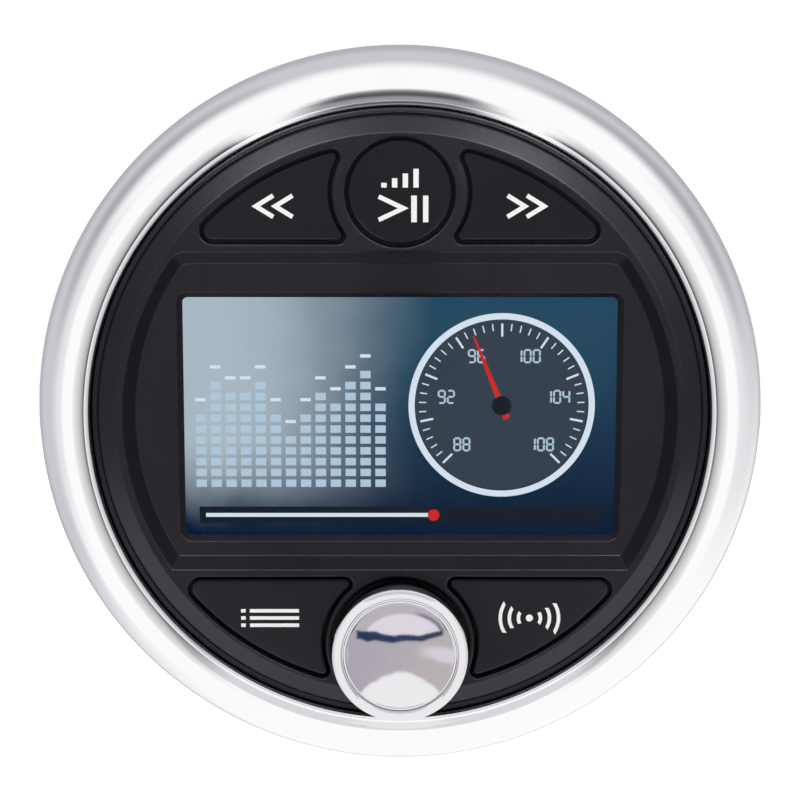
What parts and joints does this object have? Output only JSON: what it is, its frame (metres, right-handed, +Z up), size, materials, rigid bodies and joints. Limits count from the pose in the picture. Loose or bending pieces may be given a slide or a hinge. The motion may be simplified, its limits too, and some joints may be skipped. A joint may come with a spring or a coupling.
{
  "type": "round marine stereo",
  "caption": "Round gauge-hole marine stereo with a chrome bezel, lit display, press keys, a turn-and-push knob, rear sockets and a panel clamp.",
  "frame": {"origin": "centre of the panel's front face, on the axis of the can, where the gasket's back meets the panel", "axes": "face looks along -Y, +Y runs backwards along the can through the panel, +Z is up, +X is to the right as seen from the front"},
  "size_m": [0.112, 0.0989, 0.112],
  "materials": {
    "chrome": "mirror chrome plate on plastic",
    "fascia_plastic": "fine satin texture",
    "key_rubber": "smooth satin",
    "clear_window": "polished",
    "display_glass": "lit display",
    "white_plastic": "moulded",
    "red_plastic": "moulded",
    "brown_plastic": "moulded",
    "black_plastic": "fine spark texture",
    "steel": "plated or stainless",
    "board_laminate": "lacquered laminate",
    "seal_rubber": "matt",
    "sink_aluminium": "extruded",
    "pin_brass": "bright",
    "ribbon_film": "film"
  },
  "bodies": {
    "housing": {"bezel_ring": "chrome", "front_fascia": "fascia_plastic", "display_lens": "clear_window", "display_panel": "display_glass", "display_backlight": "white_plastic", "key_leds": "white_plastic", "ribbon_sockets": "white_plastic", "usb_tongue": "white_plastic", "rca_insert_white": "white_plastic", "rca_insert_red": "red_plastic", "display_cradle": "black_plastic", "rear_can": "black_plastic", "rear_cover": "black_plastic", "harness_socket": "black_plastic", "rca_block": "black_plastic", "amplifier_chip": "black_plastic", "audio_processor": "black_plastic", "display_frame": "steel", "switch_bodies": "steel", "board_screws": "steel", "encoder_body": "steel", "face_screws": "steel", "main_board_screws": "steel", "tuner_module": "steel", "antenna_socket": "steel", "rca_shells": "steel", "usb_shell": "steel", "cover_screws": "steel", "heat_sink_screws": "steel", "mount_studs": "steel", "front_board": "board_laminate", "main_board": "board_laminate", "display_pad": "seal_rubber", "knob_seal": "seal_rubber", "face_seal": "seal_rubber", "panel_gasket": "seal_rubber", "rear_seal": "seal_rubber", "heat_sink": "sink_aluminium", "filter_capacitors": "sink_aluminium", "harness_pins": "pin_brass", "power_choke": "pin_brass", "board_ribbon": "ribbon_film"},
    "key_play": {"key_play": "key_rubber", "plunger_play": "brown_plastic"},
    "key_back": {"key_back": "key_rubber", "plunger_back": "brown_plastic"},
    "key_forward": {"key_forward": "key_rubber", "plunger_forward": "brown_plastic"},
    "key_mode": {"key_mode": "key_rubber", "plunger_mode": "brown_plastic"},
    "key_band": {"key_band": "key_rubber", "plunger_band": "brown_plastic"},
    "knob_push": {"encoder_plunger": "white_plastic"},
    "knob": {"knob_sleeve": "chrome", "knob_dish": "chrome", "encoder_shaft": "steel"},
    "clamp": {"clamp_bracket": "steel", "clamp_washers": "steel", "wing_nuts": "steel"}
  },
  "joints": [
    {"name": "key_play_press", "type": "slide", "parent": "housing", "child": "key_play", "axis": [0, 1, 0], "range_m": [0, 0.0006], "stiffness_N_per_m": 800, "springref_m": -0.0006},
    {"name": "key_back_press", "type": "slide", "parent": "housing", "child": "key_back", "axis": [0, 1, 0], "range_m": [0, 0.0006], "stiffness_N_per_m": 800, "springref_m": -0.0006},
    {"name": "key_forward_press", "type": "slide", "parent": "housing", "child": "key_forward", "axis": [0, 1, 0], "range_m": [0, 0.0006], "stiffness_N_per_m": 800, "springref_m": -0.0006},
    {"name": "key_mode_press", "type": "slide", "parent": "housing", "child": "key_mode", "axis": [0, 1, 0], "range_m": [0, 0.0006], "stiffness_N_per_m": 800, "springref_m": -0.0006},
    {"name": "key_band_press", "type": "slide", "parent": "housing", "child": "key_band", "axis": [0, 1, 0], "range_m": [0, 0.0006], "stiffness_N_per_m": 800, "springref_m": -0.0006},
    {"name": "knob_press", "type": "slide", "parent": "housing", "child": "knob_push", "axis": [0, 1, 0], "range_m": [0, 0.0008], "stiffness_N_per_m": 1500, "springref_m": -0.0008},
    {"name": "knob_turn", "type": "hinge", "parent": "knob_push", "child": "knob", "pos_m": [0, -0.0176, -0.0356], "axis": [0, 1, 0], "continuous": true},
    {"name": "clamp_slide", "type": "slide", "parent": "housing", "child": "clamp", "axis": [0, 1, 0], "range_m": [-0.006, 0.078]}
  ]
}
